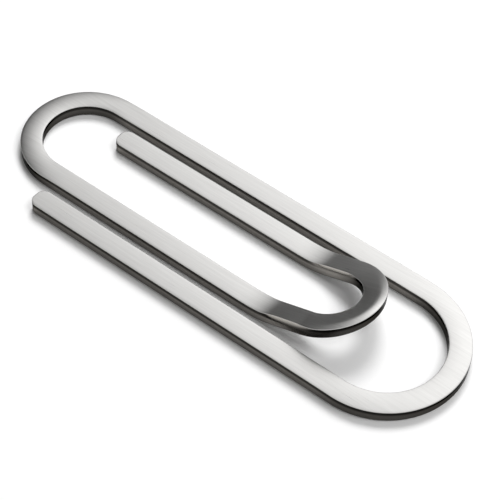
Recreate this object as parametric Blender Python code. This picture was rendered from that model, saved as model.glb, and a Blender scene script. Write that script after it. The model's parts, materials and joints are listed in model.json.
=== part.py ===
"""A large paper clip bent from one flat strip of brushed steel.

The strip starts at a free end, runs along the front leg, round the large bend, back along
the back leg, round the small end bend, along the middle leg, up a ramp, round the tongue's
bend and down again along the inner leg to its other free end. Every bend turns the same way.

The strip is divided where it flexes, at the middle of each bend, into four arms. An arm
swings about the line of the strip at that point, as the real strip twists there.

Lengths are in metres, +Z is up, and the origin is at the middle of the clip's underside.
"""

import math

import bmesh
import bpy

MM = 0.001

# Outer sizes of the clip
CLIP_LENGTH = 100.0 * MM
CLIP_WIDTH = 31.8 * MM

# Section of the strip
STRIP_WIDTH = 4.25 * MM
STRIP_THICKNESS = 2.6 * MM
EDGE_ROUNDING = 0.42 * MM

# Gaps between neighbouring legs
FRONT_TO_MIDDLE_GAP = 2.13 * MM
BACK_TO_INNER_GAP = 1.73 * MM

# The tongue: its distance from the large bend, and the ramp that lifts it
TONGUE_TO_BEND_GAP = 13.35 * MM
RAMP_LENGTH = 18.4 * MM
RAMP_CURVE_LENGTH = 3.6 * MM
TONGUE_RISE = 6.7 * MM

# How much more the ramp rises along the middle leg than along the inner leg
TONGUE_LEAN = 1.1 * MM

# Free ends: how far each stays behind the small end bend, and its rounded corners
FRONT_END_SETBACK = 14.9 * MM
INNER_END_SETBACK = 17.0 * MM
END_CORNER_RADIUS = 1.3 * MM

# Clear cut between two arms at the middle of a bend
FLEX_CUT = 0.3 * MM

# Faceting
QUARTER_BEND_STEPS = 14
RAMP_STEPS = 6
EDGE_STEPS = 3
END_STEPS = 5
SMOOTH_ANGLE = math.radians(35.0)

# Largest share of the strip's half thickness or half width that its edge rounding may take
ROUNDING_LIMIT = 0.48

STEEL_COLOUR = (0.60, 0.59, 0.57, 1.0)
STEEL_ROUGHNESS = 0.33

# Centrelines of the legs, and the bends that join them
half_width = STRIP_WIDTH / 2
half_thickness = STRIP_THICKNESS / 2
edge_rounding = min(EDGE_ROUNDING, ROUNDING_LIMIT * half_thickness, ROUNDING_LIMIT * half_width)
end_corner = max(edge_rounding, min(END_CORNER_RADIUS, half_width - edge_rounding - FLEX_CUT))

back_leg_y = CLIP_WIDTH / 2 - half_width
front_leg_y = -back_leg_y
middle_leg_y = front_leg_y + STRIP_WIDTH + FRONT_TO_MIDDLE_GAP
inner_leg_y = back_leg_y - STRIP_WIDTH - BACK_TO_INNER_GAP

large_bend_radius = (back_leg_y - front_leg_y) / 2
end_bend_radius = (back_leg_y - middle_leg_y) / 2
tongue_bend_radius = (inner_leg_y - middle_leg_y) / 2

large_bend_x = CLIP_LENGTH / 2 - half_width - large_bend_radius
end_bend_x = -CLIP_LENGTH / 2 + half_width + end_bend_radius
large_bend_y = (back_leg_y + front_leg_y) / 2
end_bend_y = (back_leg_y + middle_leg_y) / 2
tongue_bend_y = (inner_leg_y + middle_leg_y) / 2

front_end_x = -CLIP_LENGTH / 2 + FRONT_END_SETBACK
inner_end_x = -CLIP_LENGTH / 2 + INNER_END_SETBACK

# The ramp: flat up to ramp_start, an even curve up to ramp_straight, then one slope to the rim
tongue_rim_x = CLIP_LENGTH / 2 - STRIP_WIDTH - TONGUE_TO_BEND_GAP
tongue_bend_x = tongue_rim_x - half_width - tongue_bend_radius
ramp_foot_x = tongue_rim_x - RAMP_LENGTH
ramp_start = ramp_foot_x - RAMP_CURVE_LENGTH / 2
ramp_straight = ramp_foot_x + RAMP_CURVE_LENGTH / 2


def ramp_height(x, y):
    """How far the ramp lifts the middle arm and the inner arm at a place on the clip."""
    lean = TONGUE_LEAN * (tongue_bend_y - y) / (inner_leg_y - middle_leg_y)
    slope = (TONGUE_RISE + lean) / RAMP_LENGTH
    if x <= ramp_start:
        return 0.0
    if x < ramp_straight:
        return slope * (x - ramp_start) ** 2 / (2 * RAMP_CURVE_LENGTH)
    return slope * (x - ramp_foot_x)


def lifted(x, y, height):
    """Place a point of the two arms that run up the ramp, height above the strip's middle."""
    return (x, y, half_thickness + ramp_height(x, y) + height)


def flat(x, y, height):
    """Place a point of the two arms that lie flat, height above the strip's middle."""
    return (x, y, half_thickness + height)


def bend_stations(centre, radius, start, stop):
    """Stations on an arc between two angles, each a point and the strip's left-hand normal."""
    stations = []
    for step in range(QUARTER_BEND_STEPS + 1):
        angle = start + (stop - start) * step / QUARTER_BEND_STEPS
        outward = (math.cos(angle), math.sin(angle))
        point = (centre[0] + radius * outward[0], centre[1] + radius * outward[1])
        stations.append((point, (-outward[0], -outward[1]), 0.0))
    return stations


def end_stations(x, y, normal):
    """Stations of a leg's free end, from its face inwards along +X, with the reach of each."""
    stations = []
    for step in range(END_STEPS + 1):
        depth = end_corner * (1 - math.cos(math.pi / 2 * step / END_STEPS))
        stations.append(((x + depth, y), normal, end_corner - depth))
    return stations


def ramp_stations(y, normal):
    """Stations of a straight leg where it curves up into the ramp."""
    stations = []
    for step in range(RAMP_STEPS + 1):
        x = ramp_start + (ramp_straight - ramp_start) * step / RAMP_STEPS
        stations.append(((x, y), normal, 0.0))
    return stations


def inset(radius, reach):
    """How far a rounded corner has drawn in at a distance reach past the start of its arc."""
    reach = min(max(reach, 0.0), radius)
    return radius - math.sqrt(radius * radius - reach * reach)


def section_points(reach):
    """Outline of the strip's section, as (across, height) pairs, drawn in near a free end."""
    across = half_width - edge_rounding - inset(end_corner, reach)
    height = half_thickness - edge_rounding - inset(edge_rounding, reach - end_corner + edge_rounding)
    corners = ((across, height, 0), (-across, height, 1), (-across, -height, 2), (across, -height, 3))
    points = []
    for corner_across, corner_height, quarter in corners:
        for step in range(EDGE_STEPS + 1):
            angle = math.pi / 2 * (quarter + step / EDGE_STEPS)
            points.append((
                corner_across + edge_rounding * math.cos(angle),
                corner_height + edge_rounding * math.sin(angle),
            ))
    return points


def strip_mesh(name, stations, place, origin):
    """Sweep the section through the stations and close both ends."""
    model = bmesh.new()
    rings = []
    for (x, y), (normal_x, normal_y), reach in stations:
        ring = []
        for across, height in section_points(reach):
            point = place(x + across * normal_x, y + across * normal_y, height)
            ring.append(model.verts.new([own - base for own, base in zip(point, origin)]))
        rings.append(ring)
    for near, far in zip(rings, rings[1:]):
        for side in range(len(near)):
            model.faces.new((near[side - 1], near[side], far[side], far[side - 1]))
    model.faces.new(rings[0])
    model.faces.new(rings[-1])
    bmesh.ops.recalc_face_normals(model, faces=model.faces)
    mesh = bpy.data.meshes.new(name)
    model.to_mesh(mesh)
    model.free()
    mesh.shade_smooth()
    mesh.set_sharp_from_angle(angle=SMOOTH_ANGLE)
    return mesh


def steel(name):
    """Brushed steel for one arm."""
    material = bpy.data.materials.new(name)
    material.use_nodes = True
    shader = material.node_tree.nodes["Principled BSDF"]
    shader.inputs["Base Color"].default_value = STEEL_COLOUR
    shader.inputs["Roughness"].default_value = STEEL_ROUGHNESS
    shader.inputs["Metallic"].default_value = 1.0
    return material


def add_arm(name, stations, place, origin, carrier=None, carrier_origin=(0.0, 0.0, 0.0)):
    """Add one arm with its own origin on its flexing bend, carried by another arm."""
    arm = bpy.data.objects.new(name, strip_mesh(name, stations, place, origin))
    arm.data.materials.append(steel(name + "_steel"))
    arm.location = [own - other for own, other in zip(origin, carrier_origin)]
    arm.parent = carrier
    bpy.context.scene.collection.objects.link(arm)
    return arm


def half_cut(radius):
    """Half of the cut between two arms, as an angle round a bend."""
    return FLEX_CUT / 2 / radius


def build():
    for old in list(bpy.data.objects):
        bpy.data.objects.remove(old, do_unlink=True)

    large_centre = (large_bend_x, large_bend_y)
    end_centre = (end_bend_x, end_bend_y)
    tongue_centre = (tongue_bend_x, tongue_bend_y)
    quarter = math.pi / 2
    large_cut = half_cut(large_bend_radius)
    end_cut = half_cut(end_bend_radius)
    tongue_cut = half_cut(tongue_bend_radius)

    # Where the strip twists: the middle of its section at the middle of each bend
    large_flex = flat(large_bend_x + large_bend_radius, large_bend_y, 0.0)
    end_flex = flat(end_bend_x - end_bend_radius, end_bend_y, 0.0)
    tongue_flex = lifted(tongue_bend_x + tongue_bend_radius, tongue_bend_y, 0.0)
    centre = (0.0, 0.0, 0.0)

    back_arm = add_arm(
        "back_arm",
        bend_stations(large_centre, large_bend_radius, large_cut, quarter)
        + bend_stations(end_centre, end_bend_radius, quarter, 2 * quarter - end_cut),
        flat,
        centre,
    )
    add_arm(
        "front_arm",
        end_stations(front_end_x, front_leg_y, (0.0, 1.0))
        + bend_stations(large_centre, large_bend_radius, -quarter, -large_cut),
        flat,
        large_flex,
        back_arm,
        centre,
    )
    middle_arm = add_arm(
        "middle_arm",
        bend_stations(end_centre, end_bend_radius, 2 * quarter + end_cut, 3 * quarter)
        + ramp_stations(middle_leg_y, (0.0, 1.0))
        + bend_stations(tongue_centre, tongue_bend_radius, -quarter, -tongue_cut),
        lifted,
        end_flex,
        back_arm,
        centre,
    )
    add_arm(
        "inner_arm",
        bend_stations(tongue_centre, tongue_bend_radius, tongue_cut, quarter)
        + ramp_stations(inner_leg_y, (0.0, -1.0))[::-1]
        + end_stations(inner_end_x, inner_leg_y, (0.0, -1.0))[::-1],
        lifted,
        tongue_flex,
        middle_arm,
        end_flex,
    )


build()
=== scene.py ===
"""Looks of the large paper clip: one bent strip of brushed steel on a white studio floor.

The strip is drawn as three loops that meet flush in the middle of two straight legs. Each
loop crosses one flexing bend, so that the clip stays one unbroken strip when its arms swing.
"""

import json
import math

import bpy
from bpy.props import FloatProperty, FloatVectorProperty, IntProperty, PointerProperty
from mathutils import Matrix, Vector


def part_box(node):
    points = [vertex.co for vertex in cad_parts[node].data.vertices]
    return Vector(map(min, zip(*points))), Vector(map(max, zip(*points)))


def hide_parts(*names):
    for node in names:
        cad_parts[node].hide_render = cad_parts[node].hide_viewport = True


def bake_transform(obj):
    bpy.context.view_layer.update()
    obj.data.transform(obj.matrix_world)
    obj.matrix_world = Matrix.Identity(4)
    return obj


bl_info = {
    "name": "Paper clip of flat steel strip",
    "version": (1, 0, 0),
    "blender": (4, 5, 0),
    "location": "View3D > Sidebar > Paper clip",
    "description": "Builds a large paper clip bent from brushed steel strip, and its studio",
    "category": "Object",
}

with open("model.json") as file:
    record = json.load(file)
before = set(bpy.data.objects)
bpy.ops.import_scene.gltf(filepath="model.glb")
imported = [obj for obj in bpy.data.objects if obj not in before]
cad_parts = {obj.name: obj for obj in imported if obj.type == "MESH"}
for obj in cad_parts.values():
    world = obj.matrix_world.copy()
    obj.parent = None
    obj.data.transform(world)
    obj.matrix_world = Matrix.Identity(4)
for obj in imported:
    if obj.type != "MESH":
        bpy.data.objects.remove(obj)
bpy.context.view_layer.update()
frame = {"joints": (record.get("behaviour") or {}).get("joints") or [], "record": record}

MM = 0.001
UP = Vector((0.0, 0.0, 1.0))
QUARTER_TURN = math.pi / 2

# Places read from the frame: the flexing points of the bends, and the legs' centrelines
JOINTS = {joint["name"]: Vector(joint["pos_m"]) for joint in frame["joints"]}
LARGE_FLEX = JOINTS["front_arm_flex"]
END_FLEX = JOINTS["tongue_lift"]
TONGUE_FLEX = JOINTS["inner_arm_flex"]
REST_FACE = next(mount for mount in frame["record"]["mounts"] if mount["name"] == "rest_face")
BACK_LOW, BACK_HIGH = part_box("back_arm")
BACK_LEG_Y = REST_FACE["pos_m"][1]
STRIP_WIDTH = 2 * (BACK_HIGH.y - BACK_LEG_Y)
STRIP_THICKNESS = BACK_HIGH.z - BACK_LOW.z
LARGE_RADIUS = BACK_LEG_Y - LARGE_FLEX.y
END_RADIUS = BACK_LEG_Y - END_FLEX.y
FRONT_LEG_Y = LARGE_FLEX.y - LARGE_RADIUS
MIDDLE_LEG_Y = END_FLEX.y - END_RADIUS
TONGUE_RADIUS = TONGUE_FLEX.y - MIDDLE_LEG_Y
INNER_LEG_Y = TONGUE_FLEX.y + TONGUE_RADIUS
LARGE_CENTRE = Vector((LARGE_FLEX.x - LARGE_RADIUS, LARGE_FLEX.y))
END_CENTRE = Vector((END_FLEX.x + END_RADIUS, END_FLEX.y))
TONGUE_CENTRE = Vector((TONGUE_FLEX.x - TONGUE_RADIUS, TONGUE_FLEX.y))
FRONT_END_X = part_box("front_arm")[0].x
INNER_END_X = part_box("inner_arm")[0].x

# Where two loops meet on a straight leg, and the length of the first two loops
BACK_SEAM_X = 0.0
MIDDLE_SEAM_X = -12.0 * MM
OUTER_LENGTH = (
    (LARGE_CENTRE.x - FRONT_END_X) + math.pi * LARGE_RADIUS + (LARGE_CENTRE.x - BACK_SEAM_X)
)
END_LENGTH = (
    (BACK_SEAM_X - END_CENTRE.x) + math.pi * END_RADIUS + (MIDDLE_SEAM_X - END_CENTRE.x)
)

# Share of each bend's sharpness that shows as a squeeze of its top face
OUTER_SQUEEZE = 0.5
END_SQUEEZE = 1.0
TONGUE_SQUEEZE = 0.0

# Direction from the centre of the tongue's bend in which its rim rolls over most
RIM_CENTRE = math.radians(-15.0)

# The drawn-in edges of the ramp's fold end a third of the way into the tongue's bend
FOLD_END_X = TONGUE_CENTRE.x + TONGUE_RADIUS / 3

# Spacing of the stations along the strip
LEG_STEP = 1.5 * MM
BEND_STEPS = 72
END_STEPS = 12
RAMP_STEPS = 24

# Two stations closer together than this are one
SAME_PLACE = 0.001 * MM

# Distance to a free end where there is none
NO_END = 1.0


def length_setting(name, description, default):
    """A setting that is a length, in metres."""
    return FloatProperty(name=name, description=description, default=default, unit="LENGTH")


def angle_setting(name, description, degrees):
    """A setting that is an angle, with its default in degrees."""
    return FloatProperty(
        name=name, description=description, default=math.radians(degrees), subtype="ANGLE"
    )


def number_setting(name, description, default):
    """A setting that is a plain number."""
    return FloatProperty(name=name, description=description, default=default)


def colour_setting(name, description, default):
    """A setting that is a colour: red, green, blue and alpha."""
    return FloatVectorProperty(
        name=name, description=description, default=default, subtype="COLOR", size=4, min=0, max=1
    )


class ClipStripSettings(bpy.types.PropertyGroup):
    """Sizes of the strip and of the shape that bending gives it."""

    edge_rounding: length_setting(
        "Edge rounding", "Radius of the strip's two upper edges", 0.13 * MM
    )
    foot_rounding: length_setting(
        "Foot rounding", "Radius of the strip's two lower edges", 0.42 * MM
    )
    edge_steps: IntProperty(
        name="Edge steps", description="Facets across one rounded edge", default=6, min=1
    )
    end_corner: length_setting(
        "End corner", "Radius of the corners of a free end, seen from above", 1.8 * MM
    )
    ramp_length: length_setting(
        "Ramp length", "From the foot of the ramp to the tongue's rim", 18.9 * MM
    )
    ramp_curve: length_setting(
        "Ramp curve", "Length over which the strip curves up into the ramp", 7.5 * MM
    )
    fold_skew: length_setting(
        "Fold skew",
        "How much later the ramp starts on the inner leg than on the middle leg",
        1.3 * MM,
    )
    fold_bevel: length_setting(
        "Fold bevel",
        "How far the upper front edges are drawn in where the strip is folded up",
        0.50 * MM,
    )
    fold_depth: length_setting(
        "Fold depth", "How far down the side walls the drawn-in edges reach", 1.1 * MM
    )
    fold_fade: length_setting(
        "Fold fade", "Length over which the drawn-in edges start and end", 4.0 * MM
    )
    leg_crown: length_setting(
        "Leg crown",
        "How far the top face of a straight leg falls away from its middle to its edges",
        0.04 * MM,
    )
    bend_crown: length_setting(
        "Bend crown",
        "How much more the top face falls away in a bend, for a strain of one",
        0.70 * MM,
    )
    bend_lift: length_setting(
        "Bend lift",
        "How far the inner edge of a bend is squeezed up, for a strain of one",
        0.50 * MM,
    )
    bend_fade: length_setting(
        "Bend fade",
        "Length on each side of a bend's start over which its squeeze fades",
        4.0 * MM,
    )
    rim_width: length_setting(
        "Rim width", "Width of the rolled band on the tongue's outer rim", 1.9 * MM
    )
    rim_curve: length_setting(
        "Rim curve", "Width over which the tongue's rim rolls over", 1.2 * MM
    )
    rim_slope: number_setting(
        "Rim slope", "How steeply the tongue's rim rolls down, as rise over run", 0.455
    )
    rim_tilt: number_setting(
        "Rim tilt",
        "How steeply the tongue's top face climbs towards its rim, as rise over run",
        0.095,
    )


class ClipSteelSettings(bpy.types.PropertyGroup):
    """Finish of the brushed steel."""

    colour: colour_setting("Steel", "Colour of the brushed steel", (0.56, 0.555, 0.545, 1.0))
    edge_colour: colour_setting(
        "Slit edge", "Colour of the strip's slit side walls", (0.240, 0.228, 0.211, 1.0)
    )
    # Painted shade: how much darker the slit walls are made in a bend, the more the tighter the
    # bend
    painted_bend_shade: FloatProperty(
        name="Painted bend shade",
        description="How strongly the bending tool has darkened the walls, more in a tighter bend",
        default=5.0,
        min=0.0,
    )
    roughness: FloatProperty(
        name="Roughness",
        description="Mean roughness of the brushed faces",
        default=0.30,
        min=0.0,
        max=1.0,
        subtype="FACTOR",
    )
    grain_length: length_setting(
        "Grain length", "Length of a brush mark along the strip", 6.0 * MM
    )
    grain_width: length_setting("Grain width", "Width of a brush mark", 0.16 * MM)


class ClipStudioSettings(bpy.types.PropertyGroup):
    """Floor, light and room."""

    floor_colour: colour_setting("Floor", "Colour of the studio floor", (0.93, 0.93, 0.93, 1.0))
    key_azimuth: angle_setting(
        "Key azimuth", "Direction of the key light round the clip, from +X towards +Y", 117.0
    )
    key_elevation: angle_setting("Key elevation", "Height of the key light above the floor", 56.0)
    key_width: angle_setting("Key width", "Width of the key light as seen from the clip", 24.0)
    key_share: number_setting(
        "Key share", "Brightness that the key light gives a white floor", 0.49
    )
    side_azimuth: angle_setting(
        "Side azimuth", "Direction of the side light round the clip, from +X towards +Y", 15.0
    )
    side_elevation: angle_setting(
        "Side elevation", "Height of the side light above the floor", 60.0
    )
    side_width: angle_setting("Side width", "Width of the side light as seen from the clip", 32.0)
    side_share: number_setting(
        "Side share", "Brightness that the side light gives a white floor", 0.36
    )
    glow_azimuth: angle_setting(
        "Glow azimuth",
        "Direction of the soft glow that the steel mirrors, from +X towards +Y",
        108.0,
    )
    glow_elevation: angle_setting("Glow elevation", "Height of the middle of the soft glow", 45.0)
    glow_reach: angle_setting(
        "Glow reach", "Angle from the middle of the soft glow to where it has faded out", 38.0
    )
    glow_strength: number_setting(
        "Glow strength", "Brightness of the middle of the soft glow, where 1 is white", 2.3
    )
    overhead_strength: number_setting(
        "Overhead strength", "Brightness straight above the clip, where 1 is white", 0.10
    )
    surround: number_setting(
        "Surround", "Brightness of the white room that the steel mirrors, where 1 is white", 0.8
    )
    flag_azimuth: angle_setting(
        "Flag azimuth",
        "Direction of the dark flag that shades a part of the room, from +X towards +Y",
        147.0,
    )
    flag_elevation: angle_setting("Flag elevation", "Height of the middle of the dark flag", 28.0)
    flag_core: angle_setting(
        "Flag core", "Angle from the middle of the dark flag to where it starts to fade", 34.0
    )
    flag_reach: angle_setting(
        "Flag reach", "Angle from the middle of the dark flag to where it has faded out", 62.0
    )
    fill: number_setting("Fill", "Brightness of the rest of the room, where 1 is white", 0.06)


def smooth_step(value):
    """Ease from 0 to 1."""
    value = min(max(value, 0.0), 1.0)
    return value * value * (3.0 - 2.0 * value)


def bend_sharpness(past_start, radius):
    """How sharply the strip is bent at a distance past the start of a bend, eased in."""
    fade = bpy.context.scene.clip_strip.bend_fade
    share = smooth_step(0.5 + past_start / (2 * fade))
    return share * STRIP_WIDTH / 2 / radius


class StripPath:
    """The centreline of a stretch of strip, station by station.

    Each station has a point, the side that the strip turns towards, the distance along the
    whole strip, the distance to a free end, how sharply it bends there, the strain that shows
    in its top face, and its shares of the tongue's rim and of the ramp's fold.
    squeeze is the share of a bend's sharpness that shows as strain. fold is the pair of places
    along X between which the fold of the ramp draws the strip's upper front edges in.
    """

    def __init__(self, along, squeeze, fold=None):
        self.along = along
        self.squeeze = squeeze
        self.fold = fold
        self.points = []
        self.sides = []
        self.numbers = {}

    def fold_share(self, x):
        """How far the upper edges are drawn in at a place along X, from 0 to 1."""
        if self.fold is None:
            return 0.0
        fade = bpy.context.scene.clip_strip.fold_fade
        start, end = self.fold
        return smooth_step((x - start) / fade) * smooth_step((end - x) / fade)

    def station(self, point, side, end_distance, sharpness, rim=0.0):
        """Add a station, unless it is where the last one is."""
        if self.points:
            step = (point - self.points[-1]).length
            if step < SAME_PLACE:
                return
            self.along += step
        self.points.append(point)
        self.sides.append(side)
        known = {
            "along": self.along,
            "end_distance": end_distance,
            "in_bend": sharpness,
            "strain": self.squeeze * sharpness,
            "rim": rim,
            "fold": self.fold_share(point.x),
        }
        for name, value in known.items():
            self.numbers.setdefault(name, []).append(value)

    def leg(self, y, x_from, x_to, bend, free_end=None, steps=None):
        """A straight run along X. bend is the bend at one end of it, as (x, radius)."""
        corner = bpy.context.scene.clip_strip.end_corner
        steps = steps or max(2, round(abs(x_to - x_from) / LEG_STEP))
        places = [x_from + (x_to - x_from) * step / steps for step in range(steps + 1)]
        if free_end is not None:
            turns = [QUARTER_TURN * step / END_STEPS for step in range(END_STEPS + 1)]
            places = [x for x in places if abs(x - free_end) > corner]
            places += [free_end + corner * (1 - math.cos(turn)) for turn in turns]
        places.sort(reverse=x_to < x_from)
        bend_x, radius = bend
        side = Vector((0.0, math.copysign(1.0, x_to - x_from)))
        for x in places:
            end_distance = NO_END if free_end is None else abs(x - free_end)
            sharpness = bend_sharpness(-abs(x - bend_x), radius)
            self.station(Vector((x, y)), side, end_distance, sharpness)

    def bend(self, centre, radius, start, rim_centre=None):
        """A half turn to the left from an angle, with the tongue's rim about rim_centre."""
        for step in range(BEND_STEPS + 1):
            angle = start + math.pi * step / BEND_STEPS
            outward = Vector((math.cos(angle), math.sin(angle)))
            inside = radius * min(angle - start, start + math.pi - angle)
            sharpness = bend_sharpness(inside, radius)
            rim = 0.0 if rim_centre is None else max(0.0, math.cos(angle - rim_centre)) ** 2
            self.station(centre + radius * outward, -outward, NO_END, sharpness, rim)

    def mesh(self, name):
        """The stations as a chain of edges that carries what each station knows."""
        chain = bpy.data.meshes.new(name)
        places = [(point.x, point.y, 0.0) for point in self.points]
        chain.from_pydata(places, [(index, index + 1) for index in range(len(places) - 1)], [])
        vectors = {"centre": places, "side": [(side.x, side.y, 0.0) for side in self.sides]}
        for label, values in vectors.items():
            attribute = chain.attributes.new(label, "FLOAT_VECTOR", "POINT")
            attribute.data.foreach_set("vector", [number for value in values for number in value])
        for label, values in self.numbers.items():
            attribute = chain.attributes.new(label, "FLOAT", "POINT")
            attribute.data.foreach_set("value", values)
        return chain


class NodeBuilder:
    """Adds nodes to one tree and links them."""

    def __init__(self, tree):
        self.tree = tree

    def feed(self, socket, value):
        """Link an input to another node's output, or set the input's own value."""
        if isinstance(value, bpy.types.NodeSocket):
            self.tree.links.new(value, socket)
        else:
            socket.default_value = value

    def add(self, kind, inputs=None, **settings):
        """Add a node with its settings and its inputs, given by name or by number."""
        node = self.tree.nodes.new(kind)
        for name, value in settings.items():
            setattr(node, name, value)
        for name, value in (inputs or {}).items():
            self.feed(node.inputs[name], value)
        return node

    def math(self, operation, *values, clamp=False):
        """Add a math node and return its result."""
        node = self.add(
            "ShaderNodeMath", dict(enumerate(values)), operation=operation, use_clamp=clamp
        )
        return node.outputs[0]

    def half(self, value):
        """Return half of a number."""
        return self.math("MULTIPLY", value, 0.5)

    def vector_math(self, operation, *values):
        """Add a vector math node and return its vector."""
        node = self.add("ShaderNodeVectorMath", dict(enumerate(values)), operation=operation)
        return node.outputs["Vector"]

    def scaled(self, vector, factor):
        """Return a vector times a number."""
        node = self.add("ShaderNodeVectorMath", {0: vector, "Scale": factor}, operation="SCALE")
        return node.outputs["Vector"]

    def combine(self, x, y, z):
        """Return a vector made of three numbers."""
        return self.add("ShaderNodeCombineXYZ", {"X": x, "Y": y, "Z": z}).outputs["Vector"]

    def split(self, vector):
        """Return a vector's three numbers."""
        return self.add("ShaderNodeSeparateXYZ", {"Vector": vector}).outputs

    def attribute(self, name, kind="FLOAT"):
        """Return a named attribute of the geometry."""
        node = self.add("GeometryNodeInputNamedAttribute", {"Name": name}, data_type=kind)
        return node.outputs["Attribute"]

    def store(self, geometry, name, value, kind="FLOAT", domain="POINT"):
        """Store a named attribute and return the geometry."""
        node = self.add(
            "GeometryNodeStoreNamedAttribute",
            {"Geometry": geometry, "Name": name, "Value": value},
            data_type=kind,
            domain=domain,
        )
        return node.outputs["Geometry"]

    def per_face(self, value):
        """Return a number worked out once for each face."""
        node = self.add(
            "GeometryNodeFieldOnDomain", {"Value": value}, domain="FACE", data_type="FLOAT"
        )
        return node.outputs["Value"]

    def choose(self, switch, chosen, otherwise):
        """Return one of two vectors."""
        node = self.add(
            "GeometryNodeSwitch",
            {"Switch": switch, "False": otherwise, "True": chosen},
            input_type="VECTOR",
        )
        return node.outputs["Output"]

    def eased_run(self, distance, curve):
        """How far a slope of one has come at a distance past its start, eased in over curve.

        The slope grows with the square of the distance there, so the run grows with its cube.
        """
        inside = self.math("MINIMUM", self.math("MAXIMUM", distance, 0.0), curve)
        cube = self.math("POWER", self.math("DIVIDE", inside, curve), 3.0)
        curved = self.math("MULTIPLY", cube, self.math("DIVIDE", curve, 3.0))
        straight = self.math("MAXIMUM", self.math("SUBTRACT", distance, curve), 0.0)
        return self.math("ADD", curved, straight)

    def quarter_inset(self, radius, distance):
        """How far a rounded corner has drawn in at a distance from the face it ends on."""
        reach = self.math("SUBTRACT", radius, self.math("MINIMUM", distance, radius))
        squares = self.math(
            "SUBTRACT", self.math("MULTIPLY", radius, radius), self.math("MULTIPLY", reach, reach)
        )
        return self.math("SUBTRACT", radius, self.math("SQRT", self.math("MAXIMUM", squares, 0.0)))


# Settings that go into the strip's geometry nodes as they are, each under its own label
STRIP_SETTINGS = (
    "edge_rounding", "foot_rounding", "edge_steps", "end_corner",
    "leg_crown", "bend_crown", "bend_lift",
    "rim_width", "rim_curve", "rim_slope", "rim_tilt",
    "ramp_curve", "fold_bevel", "fold_depth",
)

STRIP_INPUTS = {
    "NodeSocketFloat": (
        "Strip width", "Strip thickness", "Edge rounding", "Foot rounding", "End corner",
        "Leg crown", "Bend crown", "Bend lift",
        "Rim width", "Rim curve", "Rim slope", "Rim tilt",
        "Ramp foot", "Ramp curve", "Ramp slope",
        "Fold bevel", "Fold depth", "Fold skew", "Fold middle",
    ),
    "NodeSocketInt": ("Edge steps",),
    "NodeSocketMaterial": ("Face finish", "Edge finish", "End finish"),
}

# Guides for the geometry nodes, taken off the finished mesh
GUIDES = ("section", "girth", "centre", "side", "along", "end_distance", "strain", "rim", "fold")

# Share of the ramp's curve that lies before the ramp's foot
RUN_UP = 2.0 / 3.0

# Share of a rounded edge's height that has the finish of the face it ends on, above and below
FACE_ON_EDGE = 0.5
FACE_ON_FOOT = 0.1

# Cuts across each flat of the section
FLAT_CUTS = 9

# Two counts that differ by less than this are the same
COUNT_TOLERANCE = 0.1

# The faces that close the strip's ends have more corners than this
QUAD_CORNERS = 4


def section_curve(nodes, inputs):
    """The strip's section: a rectangle with rounded corners and cuts across its flats."""
    rectangle = nodes.add(
        "GeometryNodeCurvePrimitiveQuadrilateral",
        {"Width": inputs["Strip width"], "Height": inputs["Strip thickness"]},
    )
    place = nodes.add("GeometryNodeInputPosition").outputs["Position"]
    is_upper = nodes.math("GREATER_THAN", nodes.split(place)["Y"], 0.0)
    sharper = nodes.math("SUBTRACT", inputs["Edge rounding"], inputs["Foot rounding"])
    rounding = nodes.math("MULTIPLY_ADD", is_upper, sharper, inputs["Foot rounding"])
    fillet = nodes.add(
        "GeometryNodeFilletCurve",
        {"Curve": rectangle.outputs["Curve"], "Count": inputs["Edge steps"], "Radius": rounding},
        mode="POLY",
    )
    index = nodes.add("GeometryNodeInputIndex").outputs["Index"]
    in_corner = nodes.math("MODULO", index, nodes.math("ADD", inputs["Edge steps"], 1))
    is_last = nodes.math("COMPARE", in_corner, inputs["Edge steps"], COUNT_TOLERANCE)
    cuts = nodes.math("MULTIPLY", is_last, FLAT_CUTS)
    cut = nodes.add("GeometryNodeSubdivideCurve", {"Curve": fillet.outputs["Curve"], "Cuts": cuts})
    girth = nodes.add("GeometryNodeSplineParameter").outputs["Length"]
    curve = nodes.store(cut.outputs["Curve"], "section", place, "FLOAT_VECTOR")
    return nodes.store(curve, "girth", girth)


def drawn_edge(nodes, inputs):
    """How far the fold draws a point in, from 0 at the foot of the bevel to 1 on top.

    Only the edges that face the front of the clip are drawn in.
    """
    section = nodes.split(nodes.attribute("section", "FLOAT_VECTOR"))
    half_thickness = nodes.half(inputs["Strip thickness"])
    bevel_foot = nodes.math("SUBTRACT", half_thickness, inputs["Fold depth"])
    above = nodes.math("SUBTRACT", section["Y"], bevel_foot)
    share = nodes.math("DIVIDE", above, inputs["Fold depth"], clamp=True)
    side = nodes.split(nodes.attribute("side", "FLOAT_VECTOR"))
    is_front = nodes.math("LESS_THAN", nodes.math("MULTIPLY", side["Y"], section["X"]), 0.0)
    front_fold = nodes.math("MULTIPLY", nodes.attribute("fold"), is_front)
    return nodes.math("MULTIPLY", nodes.math("MULTIPLY", share, share), front_fold)


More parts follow.
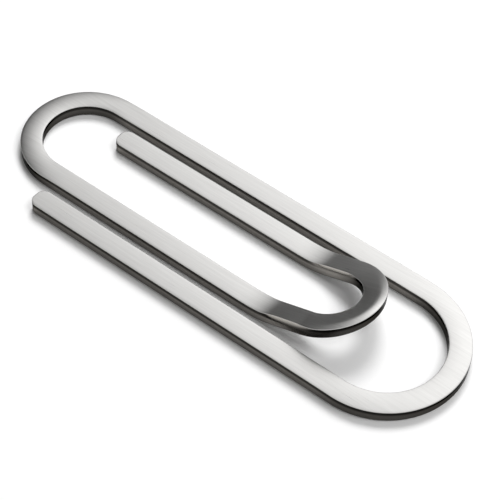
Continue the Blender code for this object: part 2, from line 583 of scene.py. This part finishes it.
def strip_place(nodes, inputs):
    """Where each point of the strip goes: drawn in at its ends, squeezed, rolled and lifted."""
    half_width = nodes.half(inputs["Strip width"])
    half_thickness = nodes.half(inputs["Strip thickness"])
    section = nodes.split(nodes.attribute("section", "FLOAT_VECTOR"))
    end_distance = nodes.attribute("end_distance")

    width_inset = nodes.quarter_inset(inputs["End corner"], end_distance)
    height_inset = nodes.quarter_inset(inputs["Edge rounding"], end_distance)
    bevel_inset = nodes.math("MULTIPLY", drawn_edge(nodes, inputs), inputs["Fold bevel"])
    inset = nodes.math("ADD", width_inset, bevel_inset)
    narrow = nodes.math("SUBTRACT", 1.0, nodes.math("DIVIDE", inset, half_width))
    low = nodes.math("SUBTRACT", 1.0, nodes.math("DIVIDE", height_inset, half_thickness))
    across = nodes.math("MULTIPLY", section["X"], narrow)
    height = nodes.math("MULTIPLY", section["Y"], low)

    # The squeeze and the roll belong to the top face and fade to nothing on the underside
    top = nodes.math("MULTIPLY_ADD", nodes.math("DIVIDE", height, half_thickness), 0.5, 0.5)
    inward = nodes.math("DIVIDE", across, half_width)
    strain = nodes.attribute("strain")
    squeeze = nodes.math("MULTIPLY", nodes.math("MULTIPLY", inputs["Bend lift"], strain), inward)
    crown = nodes.math("MULTIPLY_ADD", inputs["Bend crown"], strain, inputs["Leg crown"])
    fall = nodes.math("MULTIPLY", nodes.math("MULTIPLY", inward, inward), crown)
    rim_start = nodes.math("SUBTRACT", inputs["Rim width"], half_width)
    roll = nodes.eased_run(nodes.math("SUBTRACT", rim_start, across), inputs["Rim curve"])
    drop = nodes.math("MULTIPLY", roll, inputs["Rim slope"])
    climb = nodes.math("MULTIPLY", nodes.math("SUBTRACT", half_width, across), inputs["Rim tilt"])
    rolled = nodes.math("MULTIPLY", nodes.math("SUBTRACT", climb, drop), nodes.attribute("rim"))
    raised = nodes.math("SUBTRACT", nodes.math("ADD", squeeze, rolled), fall)
    shaped = nodes.math("MULTIPLY", raised, top)

    plan = nodes.vector_math(
        "ADD",
        nodes.attribute("centre", "FLOAT_VECTOR"),
        nodes.scaled(nodes.attribute("side", "FLOAT_VECTOR"), across),
    )
    plan_parts = nodes.split(plan)
    sideways = nodes.math("SUBTRACT", plan_parts["Y"], inputs["Fold middle"])
    foot = nodes.math("MULTIPLY_ADD", sideways, inputs["Fold skew"], inputs["Ramp foot"])
    run_up = nodes.math("MULTIPLY", inputs["Ramp curve"], RUN_UP)
    past_start = nodes.math("ADD", nodes.math("SUBTRACT", plan_parts["X"], foot), run_up)
    run = nodes.eased_run(past_start, inputs["Ramp curve"])
    ramp = nodes.math("MULTIPLY", run, inputs["Ramp slope"])

    flat = nodes.math("ADD", half_thickness, height)
    lift = nodes.math("ADD", flat, nodes.math("ADD", shaped, ramp))
    return nodes.vector_math("ADD", plan, nodes.combine(0.0, 0.0, lift))


def strip_tree():
    """Geometry nodes that sweep the strip's section along a path and bend it into shape."""
    tree = bpy.data.node_groups.get("Bent strip")
    if tree is not None:
        return tree
    tree = bpy.data.node_groups.new("Bent strip", "GeometryNodeTree")
    tree.interface.new_socket("Geometry", in_out="INPUT", socket_type="NodeSocketGeometry")
    for kind, names in STRIP_INPUTS.items():
        for name in names:
            tree.interface.new_socket(name, in_out="INPUT", socket_type=kind)
    tree.interface.new_socket("Geometry", in_out="OUTPUT", socket_type="NodeSocketGeometry")
    nodes = NodeBuilder(tree)
    inputs = nodes.add("NodeGroupInput").outputs

    path = nodes.add("GeometryNodeMeshToCurve", {"Mesh": inputs["Geometry"]}).outputs["Curve"]
    swept = nodes.add(
        "GeometryNodeCurveToMesh",
        {"Curve": path, "Profile Curve": section_curve(nodes, inputs), "Fill Caps": True},
    ).outputs["Mesh"]
    placed = nodes.add(
        "GeometryNodeSetPosition", {"Geometry": swept, "Position": strip_place(nodes, inputs)}
    ).outputs["Geometry"]

    corners = nodes.add("GeometryNodeInputMeshFaceNeighbors").outputs["Vertex Count"]
    is_end = nodes.math("GREATER_THAN", corners, QUAD_CORNERS)
    section = nodes.split(nodes.attribute("section", "FLOAT_VECTOR"))
    half_thickness = nodes.half(inputs["Strip thickness"])
    underside = nodes.math("MULTIPLY", half_thickness, -1.0)
    wall_top = nodes.math("MULTIPLY_ADD", inputs["Edge rounding"], -FACE_ON_EDGE, half_thickness)
    wall_foot = nodes.math("MULTIPLY_ADD", inputs["Foot rounding"], FACE_ON_FOOT, underside)
    is_wall = nodes.math(
        "MULTIPLY",
        nodes.math("LESS_THAN", section["Y"], wall_top),
        nodes.math("GREATER_THAN", section["Y"], wall_foot),
    )
    smooth = nodes.add(
        "GeometryNodeSetShadeSmooth",
        {"Geometry": placed, "Shade Smooth": nodes.math("SUBTRACT", 1.0, is_end)},
    ).outputs["Geometry"]

    # The faces are brushed along the clip, the walls along the strip
    lengthwise = nodes.add("GeometryNodeInputPosition").outputs["Position"]
    around = nodes.combine(nodes.attribute("along"), nodes.attribute("girth"), 0.0)
    flat_end = nodes.combine(section["X"], section["Y"], 0.0)
    on_walls = nodes.choose(nodes.per_face(is_wall), around, lengthwise)
    on_ends = nodes.choose(nodes.per_face(is_end), flat_end, on_walls)
    mapped = nodes.store(smooth, "UVMap", on_ends, "FLOAT2", "CORNER")
    from_middle = nodes.math("DIVIDE", section["Y"], inputs["Strip thickness"])
    mapped = nodes.store(mapped, "wall_place", nodes.math("ADD", from_middle, 0.5))
    # Where the painted highlight brightens the walls along the ramp's fold
    mapped = nodes.store(mapped, "polish", drawn_edge(nodes, inputs))

    finished = nodes.add("GeometryNodeRealizeInstances", {"Geometry": mapped}).outputs["Geometry"]
    selections = {"Face finish": True, "Edge finish": is_wall, "End finish": is_end}
    for finish, selection in selections.items():
        finished = nodes.add(
            "GeometryNodeSetMaterial",
            {"Geometry": finished, "Selection": selection, "Material": inputs[finish]},
        ).outputs["Geometry"]
    nodes.add("NodeGroupOutput", {"Geometry": finished})
    return tree


# Layers of streaks: how much coarser each is than a brush mark, and its share
STREAK_LAYERS = ((1.0, 0.55), (3.1, 0.45))
STREAK_DETAIL = 2.0
STREAK_ROUGHNESS = 0.6
CLOUDS_PER_METRE = 90.0
CLOUD_DETAIL = 3.0

# The middle of a noise, where most of it lies
NOISE_LOW = 0.3
NOISE_HIGH = 0.7

# How the streaks and the cloud vary the steel's shade and roughness, and how deep a mark is
STREAK_SHADE = (0.90, 1.10)
CLOUD_SHADE = (0.96, 1.04)
ROUGHNESS_SPREAD = 0.02
MARK_DEPTH = 0.02 * MM

# Part of a full turn that lays the highlight across the brush marks
HIGHLIGHT_TURN = 0.25

# Height up a slit wall, from 0 to 1, at which the painted shade on its upper band starts and is
# full
PAINTED_BAND_START = 0.58
PAINTED_BAND_FULL = 0.78

# Painted highlight: shade of a side wall where the ramp's fold draws its upper edge in, against
# the wall's own colour
PAINTED_GLINT_SHADE = 2.6

# How much wider the marks on the slit walls are, and how much rougher the ground ends are
SLIT_COARSENESS = 1.6
END_ROUGHNESS = 0.05


def grain_group():
    """Shader node group for brush marks: long fine streaks, and a soft cloud over them."""
    group = bpy.data.node_groups.get("Brush grain")
    if group is not None:
        return group
    group = bpy.data.node_groups.new("Brush grain", "ShaderNodeTree")
    group.interface.new_socket("Place", in_out="INPUT", socket_type="NodeSocketVector")
    for name in ("Length", "Width"):
        group.interface.new_socket(name, in_out="INPUT", socket_type="NodeSocketFloat")
    for name in ("Streaks", "Cloud"):
        group.interface.new_socket(name, in_out="OUTPUT", socket_type="NodeSocketFloat")
    nodes = NodeBuilder(group)
    inputs = nodes.add("NodeGroupInput").outputs
    parts = nodes.split(inputs["Place"])
    streaks = None
    for coarseness, share in STREAK_LAYERS:
        width = nodes.math("MULTIPLY", inputs["Width"], coarseness)
        length = nodes.math("MULTIPLY", inputs["Length"], coarseness)
        place = nodes.combine(
            nodes.math("DIVIDE", parts["X"], length),
            nodes.math("DIVIDE", parts["Y"], width),
            0.0,
        )
        noise = nodes.add(
            "ShaderNodeTexNoise",
            {
                "Vector": place,
                "Scale": 1.0,
                "Detail": STREAK_DETAIL,
                "Roughness": STREAK_ROUGHNESS,
            },
        )
        layer = nodes.math("MULTIPLY", noise.outputs["Fac"], share)
        streaks = layer if streaks is None else nodes.math("ADD", streaks, layer)
    cloud_place = nodes.scaled(inputs["Place"], CLOUDS_PER_METRE)
    cloud = nodes.add(
        "ShaderNodeTexNoise", {"Vector": cloud_place, "Scale": 1.0, "Detail": CLOUD_DETAIL}
    )
    nodes.add("NodeGroupOutput", {"Streaks": streaks, "Cloud": cloud.outputs["Fac"]})
    return group


def spread(nodes, value, low, high):
    """Map the middle of a noise to a range."""
    node = nodes.add(
        "ShaderNodeMapRange",
        {
            "Value": value,
            "From Min": NOISE_LOW,
            "From Max": NOISE_HIGH,
            "To Min": low,
            "To Max": high,
        },
    )
    return node.outputs["Result"]


def surface_value(nodes, name):
    """Read a value that the strip's geometry nodes left on the surface."""
    return nodes.add("ShaderNodeAttribute", attribute_name=name).outputs["Fac"]


def steel_material(
    name,
    colour,
    roughness,
    length,
    width,
    anisotropy,
    relief,
    grazing=1.0,
    painted_band_shade=0.0,
    painted_bend_shade=0.0,
):
    """Brushed steel: streaked colour, roughness and relief along the strip.

    grazing is how bright the steel is at a flat angle, against clean metal. The next argument is
    painted shade: how much darker the upper band of a slit wall is made than the rest. The last is
    painted shade too: how strongly a wall is made darker in a bend, the more the tighter the bend;
    where it is set, the walls also get a painted highlight along the ramp's fold.
    """
    material = bpy.data.materials.get(name)
    if material is not None:
        return material
    material = bpy.data.materials.new(name)
    material.use_nodes = True
    material.node_tree.nodes.clear()
    nodes = NodeBuilder(material.node_tree)
    place = nodes.add("ShaderNodeUVMap", uv_map="UVMap").outputs["UV"]
    brush = nodes.add(
        "ShaderNodeGroup",
        {"Place": place, "Length": length, "Width": width},
        node_tree=grain_group(),
    )
    streaks = brush.outputs["Streaks"]
    cloud = brush.outputs["Cloud"]

    shade = nodes.math(
        "MULTIPLY", spread(nodes, streaks, *STREAK_SHADE), spread(nodes, cloud, *CLOUD_SHADE)
    )
    # Painted shade: the upper band of a slit wall is made darker than the rest of the wall
    if painted_band_shade > 0.0:
        band = nodes.add(
            "ShaderNodeMapRange",
            {
                "Value": surface_value(nodes, "wall_place"),
                "From Min": PAINTED_BAND_START,
                "From Max": PAINTED_BAND_FULL,
                "To Min": 1.0,
                "To Max": 1.0 - painted_band_shade,
            },
            interpolation_type="SMOOTHSTEP",
        )
        shade = nodes.math("MULTIPLY", shade, band.outputs["Result"])
    # Painted shade: a wall is made darker in a bend, the more the tighter the bend
    if painted_bend_shade > 0.0:
        in_bend = surface_value(nodes, "in_bend")
        bend_shade = nodes.math("EXPONENT", nodes.math("MULTIPLY", in_bend, -painted_bend_shade))
        shade = nodes.math("MULTIPLY", shade, bend_shade)
        # Painted highlight: the walls are brightened where the ramp's fold draws their upper edges
        # in
        brighter = nodes.math("SUBTRACT", PAINTED_GLINT_SHADE, shade)
        shade = nodes.math("MULTIPLY_ADD", surface_value(nodes, "polish"), brighter, shade)
    base = nodes.add(
        "ShaderNodeMix",
        {"Factor": 1.0, "A": tuple(colour), "B": nodes.combine(shade, shade, shade)},
        data_type="RGBA",
        blend_type="MULTIPLY",
    )
    rough = nodes.math(
        "ADD",
        spread(nodes, streaks, roughness - ROUGHNESS_SPREAD, roughness + ROUGHNESS_SPREAD),
        spread(nodes, cloud, -ROUGHNESS_SPREAD, ROUGHNESS_SPREAD),
    )
    bump = nodes.add(
        "ShaderNodeBump", {"Height": streaks, "Strength": relief, "Distance": MARK_DEPTH}
    )
    tangent = nodes.add("ShaderNodeTangent", direction_type="UV_MAP", uv_map="UVMap")
    shader = nodes.add(
        "ShaderNodeBsdfPrincipled",
        {
            "Base Color": base.outputs["Result"],
            "Roughness": rough,
            "Metallic": 1.0,
            "Anisotropic": anisotropy,
            "Anisotropic Rotation": HIGHLIGHT_TURN,
            "Specular Tint": (grazing, grazing, grazing, 1.0),
            "Normal": bump.outputs["Normal"],
            "Tangent": tangent.outputs["Tangent"],
        },
    )
    nodes.add("ShaderNodeOutputMaterial", {"Surface": shader.outputs["BSDF"]})
    return material


def finishes():
    """The strip's brushed faces, slit side walls and ground ends."""
    steel = bpy.context.scene.clip_steel
    return {
        "Face finish": steel_material(
            "brushed_face",
            steel.colour,
            steel.roughness,
            length=steel.grain_length,
            width=steel.grain_width,
            anisotropy=0.55,
            relief=0.04,
        ),
        "Edge finish": steel_material(
            "slit_edge",
            steel.edge_colour,
            roughness=0.24,
            length=steel.grain_length,
            width=SLIT_COARSENESS * steel.grain_width,
            anisotropy=0.4,
            relief=0.10,
            grazing=0.35,
            # Painted shade on the upper band of the walls and in the bends, and a painted
            # highlight along the fold
            painted_band_shade=0.8,
            painted_bend_shade=steel.painted_bend_shade,
        ),
        "End finish": steel_material(
            "ground_end",
            steel.edge_colour,
            steel.roughness + END_ROUGHNESS,
            length=steel.grain_width,
            width=steel.grain_width,
            anisotropy=0.0,
            relief=0.15,
        ),
    }


def ramp_foot():
    """Where the straight slope of the ramp would start from the flat, on the middle leg."""
    rim_x = TONGUE_FLEX.x + STRIP_WIDTH / 2
    return rim_x - bpy.context.scene.clip_strip.ramp_length


def strip_inputs(lifted):
    """Values for the strip's geometry nodes. Only the loop on the ramp is lifted."""
    strip = bpy.context.scene.clip_strip
    foot = ramp_foot()
    slope = (TONGUE_FLEX.z - STRIP_THICKNESS / 2) / (TONGUE_FLEX.x - foot - strip.fold_skew / 2)
    values = {
        "Strip width": STRIP_WIDTH,
        "Strip thickness": STRIP_THICKNESS,
        "Ramp foot": foot,
        "Ramp slope": slope if lifted else 0.0,
        "Fold skew": strip.fold_skew / (INNER_LEG_Y - MIDDLE_LEG_Y),
        "Fold middle": MIDDLE_LEG_Y,
    }
    for setting in STRIP_SETTINGS:
        values[strip.bl_rna.properties[setting].name] = getattr(strip, setting)
    values.update(finishes())
    return values


def plain_mesh(name, chain, values):
    """Run the strip's geometry nodes on a chain and keep the result as a plain mesh object."""
    guide = bpy.data.objects.new(name + "_guide", chain)
    bpy.context.scene.collection.objects.link(guide)
    tree = strip_tree()
    modifier = guide.modifiers.new("Bent strip", "NODES")
    modifier.node_group = tree
    for item in tree.interface.items_tree:
        if item.in_out == "INPUT" and item.name in values:
            modifier[item.identifier] = values[item.name]
    depsgraph = bpy.context.evaluated_depsgraph_get()
    mesh = bpy.data.meshes.new_from_object(
        guide.evaluated_get(depsgraph), preserve_all_data_layers=True, depsgraph=depsgraph
    )
    mesh.name = name
    for guide_name in GUIDES:
        mesh.attributes.remove(mesh.attributes[guide_name])
    bpy.data.objects.remove(guide, do_unlink=True)
    bpy.data.meshes.remove(chain)
    piece = bpy.data.objects.new(name, mesh)
    bpy.context.scene.collection.objects.link(piece)
    if len(mesh.polygons) == 0:
        raise RuntimeError(name + " came out empty")
    return piece


class CLIP_OT_outer_loop(bpy.types.Operator):
    """Make the outer loop: the front leg, the large bend and half of the back leg"""

    bl_idname = "clip.outer_loop"
    bl_label = "Outer loop"

    def execute(self, context):
        path = StripPath(0.0, OUTER_SQUEEZE)
        bend = (LARGE_CENTRE.x, LARGE_RADIUS)
        path.leg(FRONT_LEG_Y, FRONT_END_X, LARGE_CENTRE.x, bend, free_end=FRONT_END_X)
        path.bend(LARGE_CENTRE, LARGE_RADIUS, -QUARTER_TURN)
        path.leg(BACK_LEG_Y, LARGE_CENTRE.x, BACK_SEAM_X, bend)
        piece = plain_mesh("outer_loop", path.mesh("outer_loop_path"), strip_inputs(lifted=False))
        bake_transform(piece)
        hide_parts("front_arm", "back_arm")
        return {"FINISHED"}


class CLIP_OT_end_loop(bpy.types.Operator):
    """Make the end loop: half of the back leg, the small end bend and part of the middle leg"""

    bl_idname = "clip.end_loop"
    bl_label = "End loop"

    def execute(self, context):
        path = StripPath(OUTER_LENGTH, END_SQUEEZE)
        bend = (END_CENTRE.x, END_RADIUS)
        path.leg(BACK_LEG_Y, BACK_SEAM_X, END_CENTRE.x, bend)
        path.bend(END_CENTRE, END_RADIUS, QUARTER_TURN)
        path.leg(MIDDLE_LEG_Y, END_CENTRE.x, MIDDLE_SEAM_X, bend)
        piece = plain_mesh("end_loop", path.mesh("end_loop_path"), strip_inputs(lifted=False))
        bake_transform(piece)
        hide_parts("back_arm", "middle_arm")
        return {"FINISHED"}


class CLIP_OT_tongue_loop(bpy.types.Operator):
    """Make the tongue loop: the rest of the middle leg, the ramp, the tongue and the inner leg"""

    bl_idname = "clip.tongue_loop"
    bl_label = "Tongue loop"

    def execute(self, context):
        foot = ramp_foot()
        ramp_start = foot - RUN_UP * context.scene.clip_strip.ramp_curve
        path = StripPath(OUTER_LENGTH + END_LENGTH, TONGUE_SQUEEZE, fold=(foot, FOLD_END_X))
        bend = (TONGUE_CENTRE.x, TONGUE_RADIUS)
        path.leg(MIDDLE_LEG_Y, MIDDLE_SEAM_X, ramp_start, bend)
        path.leg(MIDDLE_LEG_Y, ramp_start, TONGUE_CENTRE.x, bend, steps=RAMP_STEPS)
        path.bend(TONGUE_CENTRE, TONGUE_RADIUS, -QUARTER_TURN, rim_centre=RIM_CENTRE)
        path.leg(INNER_LEG_Y, TONGUE_CENTRE.x, ramp_start, bend, steps=RAMP_STEPS)
        path.leg(INNER_LEG_Y, ramp_start, INNER_END_X, bend, free_end=INNER_END_X)
        piece = plain_mesh("tongue_loop", path.mesh("tongue_loop_path"), strip_inputs(lifted=True))
        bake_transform(piece)
        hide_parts("middle_arm", "inner_arm")
        return {"FINISHED"}


WHITE = (1.0, 1.0, 1.0, 1.0)
FLOOR_SIZE = 6.0
LAMP_DISTANCE = 0.9

# Angle from straight above to where the overhead light has faded out
OVERHEAD_REACH = math.radians(38.0)

# The floor is lifted a little near the clip, and to plain white where the lamps no longer reach
FLOOR_GLOW = 0.06
FLOOR_NEAR = 0.12
FLOOR_FAR = 0.60

# Camera, from the photograph's perspective
CAMERA_AZIMUTH = math.radians(34.87)
CAMERA_ELEVATION = math.radians(50.43)
CAMERA_ROLL = math.radians(3.50)
CAMERA_DISTANCE = 300.94 * MM
CAMERA_TARGET = Vector((4.01, 0.93, 2.6)) * MM
CAMERA_SENSOR = 36.0
CAMERA_LENS = 118.9
CAMERA_NEAR = 1.0 * MM


def floor_material(colour):
    """Matt white floor, lifted where it is seen so that it reads as plain white."""
    material = bpy.data.materials.new("studio_floor")
    material.use_nodes = True
    material.node_tree.nodes.clear()
    nodes = NodeBuilder(material.node_tree)
    ray = nodes.add("ShaderNodeLightPath").outputs
    seen = nodes.math("MAXIMUM", ray["Is Camera Ray"], ray["Is Glossy Ray"])
    seen = nodes.math("MAXIMUM", seen, ray["Is Transmission Ray"])
    matt = nodes.add("ShaderNodeBsdfDiffuse", {"Color": tuple(colour)})
    place = nodes.add("ShaderNodeTexCoord").outputs["Object"]
    distance = nodes.add("ShaderNodeVectorMath", {0: place}, operation="LENGTH")
    lift = nodes.add(
        "ShaderNodeMapRange",
        {
            "Value": distance.outputs["Value"],
            "From Min": FLOOR_NEAR,
            "From Max": FLOOR_FAR,
            "To Min": FLOOR_GLOW,
            "To Max": 1.0,
        },
        interpolation_type="SMOOTHSTEP",
    )
    strength = nodes.math("MULTIPLY", seen, lift.outputs["Result"])
    glow = nodes.add("ShaderNodeEmission", {"Strength": strength})
    both = nodes.add("ShaderNodeAddShader", {0: matt.outputs["BSDF"], 1: glow.outputs["Emission"]})
    nodes.add("ShaderNodeOutputMaterial", {"Surface": both.outputs["Shader"]})
    return material


def add_floor(studio):
    """A wide white floor under the clip."""
    half = FLOOR_SIZE / 2
    mesh = bpy.data.meshes.new("floor")
    corners = [(-half, -half, 0.0), (half, -half, 0.0), (half, half, 0.0), (-half, half, 0.0)]
    mesh.from_pydata(corners, [], [(0, 1, 2, 3)])
    mesh.materials.append(floor_material(studio.floor_colour))
    floor = bpy.data.objects.new("floor", mesh)
    bpy.context.scene.collection.objects.link(floor)


def direction_of(azimuth, elevation):
    """The direction at an angle round the clip, from +X towards +Y, and a height."""
    level = math.cos(elevation)
    return Vector((math.cos(azimuth) * level, math.sin(azimuth) * level, math.sin(elevation)))


def add_lamp(name, azimuth, elevation, width, share):
    """A soft box. It lights the floor and is kept out of the steel."""
    direction = direction_of(azimuth, elevation)
    light = bpy.data.lights.new(name, "AREA")
    light.shape = "DISK"
    light.size = 2 * LAMP_DISTANCE * math.tan(width / 2)
    light.energy = share * (math.pi * LAMP_DISTANCE) ** 2 / direction.z
    lamp = bpy.data.objects.new(name, light)
    lamp.location = direction * LAMP_DISTANCE
    lamp.rotation_euler = direction.to_track_quat("Z", "Y").to_euler()
    lamp.visible_camera = False
    lamp.visible_glossy = False
    bpy.context.scene.collection.objects.link(lamp)


def soft_spot(nodes, place, direction, core, reach, middle, outside):
    """A value that changes evenly from the core of a soft spot in the room to its rim."""
    facing = nodes.add(
        "ShaderNodeVectorMath", {0: place, 1: tuple(direction)}, operation="DOT_PRODUCT"
    )
    angle = nodes.math("ARCCOSINE", facing.outputs["Value"])
    fall = nodes.add(
        "ShaderNodeMapRange",
        {"Value": angle, "From Min": core, "From Max": reach, "To Min": middle, "To Max": outside},
    )
    return fall.outputs["Result"]


def add_room(studio):
    """The room: a soft glow behind the clip, and white walls with a dark flag in front of them.

    The white walls are there for the eye and for the steel and don't light the floor.
    """
    world = bpy.data.worlds.new("studio")
    world.use_nodes = True
    world.node_tree.nodes.clear()
    nodes = NodeBuilder(world.node_tree)
    place = nodes.add("ShaderNodeTexCoord").outputs["Generated"]
    glow_direction = direction_of(studio.glow_azimuth, studio.glow_elevation)
    glow = soft_spot(
        nodes, place, glow_direction, 0.0, studio.glow_reach, studio.glow_strength, 0.0
    )
    overhead = soft_spot(nodes, place, UP, 0.0, OVERHEAD_REACH, studio.overhead_strength, 0.0)
    lit = nodes.math("ADD", nodes.math("ADD", glow, overhead), studio.fill)
    flag_direction = direction_of(studio.flag_azimuth, studio.flag_elevation)
    walls = soft_spot(
        nodes, place, flag_direction, studio.flag_core, studio.flag_reach, 0.0, studio.surround
    )
    ray = nodes.add("ShaderNodeLightPath").outputs
    mirrored = nodes.math("MAXIMUM", ray["Is Glossy Ray"], ray["Is Transmission Ray"])
    seen = nodes.math("MAXIMUM", ray["Is Camera Ray"], nodes.math("MULTIPLY", mirrored, walls))
    brightness = nodes.math("ADD", lit, seen)
    background = nodes.add("ShaderNodeBackground", {"Color": WHITE, "Strength": brightness})
    nodes.add("ShaderNodeOutputWorld", {"Surface": background.outputs["Background"]})
    bpy.context.scene.world = world


def add_camera():
    """The camera at the photograph's viewing angle."""
    back = Vector((
        math.sin(CAMERA_AZIMUTH) * math.cos(CAMERA_ELEVATION),
        -math.cos(CAMERA_AZIMUTH) * math.cos(CAMERA_ELEVATION),
        math.sin(CAMERA_ELEVATION),
    ))
    level = UP.cross(back).normalized()
    above = back.cross(level)
    right = level * math.cos(CAMERA_ROLL) + above * math.sin(CAMERA_ROLL)
    up = above * math.cos(CAMERA_ROLL) - level * math.sin(CAMERA_ROLL)
    data = bpy.data.cameras.new("camera")
    data.sensor_width = CAMERA_SENSOR
    data.lens = CAMERA_LENS
    data.clip_start = CAMERA_NEAR
    camera = bpy.data.objects.new("camera", data)
    camera.matrix_world = Matrix.Translation(CAMERA_TARGET + back * CAMERA_DISTANCE) @ Matrix((
        (right.x, up.x, back.x, 0.0),
        (right.y, up.y, back.y, 0.0),
        (right.z, up.z, back.z, 0.0),
        (0.0, 0.0, 0.0, 1.0),
    ))
    bpy.context.scene.collection.objects.link(camera)
    bpy.context.scene.camera = camera


class CLIP_OT_stage(bpy.types.Operator):
    """Make the floor, the lights and the camera"""

    bl_idname = "clip.stage"
    bl_label = "Stage"

    def execute(self, context):
        studio = context.scene.clip_studio
        add_floor(studio)
        add_lamp(
            "key", studio.key_azimuth, studio.key_elevation, studio.key_width, studio.key_share
        )
        add_lamp(
            "side",
            studio.side_azimuth,
            studio.side_elevation,
            studio.side_width,
            studio.side_share,
        )
        add_room(studio)
        add_camera()
        context.scene.view_settings.view_transform = "Standard"
        return {"FINISHED"}


class VIEW3D_PT_paper_clip(bpy.types.Panel):
    """Sizes, finish and studio of the paper clip"""

    bl_idname = "VIEW3D_PT_paper_clip"
    bl_label = "Paper clip"
    bl_space_type = "VIEW_3D"
    bl_region_type = "UI"
    bl_category = "Paper clip"

    def draw(self, context):
        layout = self.layout
        for group in SETTINGS:
            settings = getattr(context.scene, group)
            box = layout.box()
            for name in settings.__annotations__:
                box.prop(settings, name)
        for operator in OPERATORS:
            layout.operator(operator.bl_idname)


SETTINGS = {
    "clip_strip": ClipStripSettings,
    "clip_steel": ClipSteelSettings,
    "clip_studio": ClipStudioSettings,
}
OPERATORS = (CLIP_OT_outer_loop, CLIP_OT_end_loop, CLIP_OT_tongue_loop, CLIP_OT_stage)


def register():
    for name, settings in SETTINGS.items():
        bpy.utils.register_class(settings)
        setattr(bpy.types.Scene, name, PointerProperty(type=settings))
    for kind in OPERATORS + (VIEW3D_PT_paper_clip,):
        bpy.utils.register_class(kind)


def unregister():
    for kind in (VIEW3D_PT_paper_clip,) + OPERATORS[::-1]:
        bpy.utils.unregister_class(kind)
    for name, settings in SETTINGS.items():
        delattr(bpy.types.Scene, name)
        bpy.utils.unregister_class(settings)


def main():
    register()
    bpy.ops.clip.outer_loop()
    bpy.ops.clip.end_loop()
    bpy.ops.clip.tongue_loop()
    bpy.ops.clip.stage()


if __name__ == "__main__":
    main()
